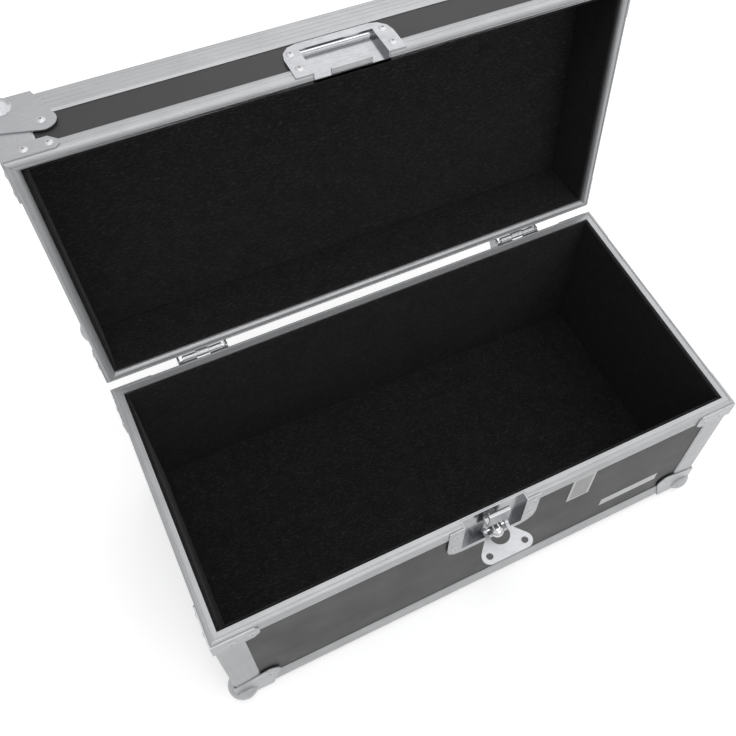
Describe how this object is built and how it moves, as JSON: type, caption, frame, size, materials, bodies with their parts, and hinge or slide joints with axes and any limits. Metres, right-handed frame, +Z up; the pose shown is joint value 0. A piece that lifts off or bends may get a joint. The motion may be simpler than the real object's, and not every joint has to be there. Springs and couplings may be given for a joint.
{
  "type": "transport case",
  "caption": "Lined transport case with aluminium edges, steel ball corners, an open hinged lid, a recessed butterfly latch and a drop handle on its lid.",
  "frame": {"origin": "on the floor, midway between the four feet under the base", "axes": "+X to the right along the case's length, +Y from the latch to the hinges, +Z up"},
  "size_m": [0.6158, 0.4558, 0.5264],
  "materials": {
    "panel": "laminated plywood, satin dark grey",
    "extrusion": "satin anodised, finely ribbed",
    "zinc_steel": "bright zinc plated sheet",
    "bright_steel": "polished",
    "bail_steel": "zinc plated rod",
    "lining": "black fleece",
    "rubber": "matt black",
    "label": "blank, satin silver"
  },
  "bodies": {
    "base": {"base_back_panel": "panel", "base_ball_corners": "zinc_steel", "base_bottom_panel": "panel", "base_corner_posts": "extrusion", "base_edge_back": "extrusion", "base_edge_front": "extrusion", "base_edge_left": "extrusion", "base_edge_right": "extrusion", "base_floor_lining": "lining", "base_front_panel": "panel", "base_left_panel": "panel", "base_right_panel": "panel", "base_rim_back": "extrusion", "base_rim_braces": "zinc_steel", "base_rim_front": "extrusion", "base_rim_left": "extrusion", "base_rim_right": "extrusion", "base_rivets": "bright_steel", "base_wall_lining": "lining", "foot_screws": "bright_steel", "front_badge": "label", "front_label": "label", "hinge_left_base_leaf": "zinc_steel", "hinge_pins": "bright_steel", "hinge_right_base_leaf": "zinc_steel", "latch_dish": "zinc_steel", "rubber_feet": "rubber"},
    "handle": {"handle_bail": "bail_steel", "handle_grip": "rubber"},
    "lid": {"handle_plate": "zinc_steel", "hinge_left_lid_leaf": "zinc_steel", "hinge_right_lid_leaf": "zinc_steel", "keeper_dish": "zinc_steel", "latch_keeper": "zinc_steel", "lid_back_panel": "panel", "lid_ball_corners": "zinc_steel", "lid_corner_posts": "extrusion", "lid_edge_back": "extrusion", "lid_edge_front": "extrusion", "lid_edge_left": "extrusion", "lid_edge_right": "extrusion", "lid_front_panel": "panel", "lid_left_panel": "panel", "lid_right_panel": "panel", "lid_rim_back": "extrusion", "lid_rim_braces": "zinc_steel", "lid_rim_front": "extrusion", "lid_rim_left": "extrusion", "lid_rim_right": "extrusion", "lid_rivets": "bright_steel", "lid_top_lining": "lining", "lid_top_panel": "panel", "lid_wall_lining": "lining"},
    "hook": {"latch_hook": "bright_steel"},
    "spindle": {"latch_spindle": "bright_steel", "latch_wing_pin": "bright_steel"},
    "wing": {"latch_wing": "bright_steel"}
  },
  "joints": [
    {"name": "lid_hinge", "type": "hinge", "parent": "base", "child": "lid", "pos_m": [0, 0.1552, 0.218], "axis": [1, 0, 0], "range_deg": [0, 94]},
    {"name": "latch_turn", "type": "hinge", "parent": "base", "child": "spindle", "pos_m": [0, -0.151, 0.1895], "axis": [0, 1, 0], "range_deg": [0, 180]},
    {"name": "wing_fold", "type": "hinge", "parent": "spindle", "child": "wing", "pos_m": [0, -0.1542, 0.1895], "axis": [1, 0, 0], "range_deg": [-30, 90]},
    {"name": "hook_throw", "type": "slide", "parent": "base", "child": "hook", "axis": [0, 0.802, -0.5973], "range_m": [0, 0.00586]},
    {"name": "handle_lift", "type": "hinge", "parent": "lid", "child": "handle", "pos_m": [0, 0.25814, 0.38843], "axis": [1, 0, 0], "range_deg": [-4, 86]}
  ],
  "couplings": [
    {"joint": "hook_throw", "follows": "latch_turn", "m_per_rad": 0.0018653}
  ]
}
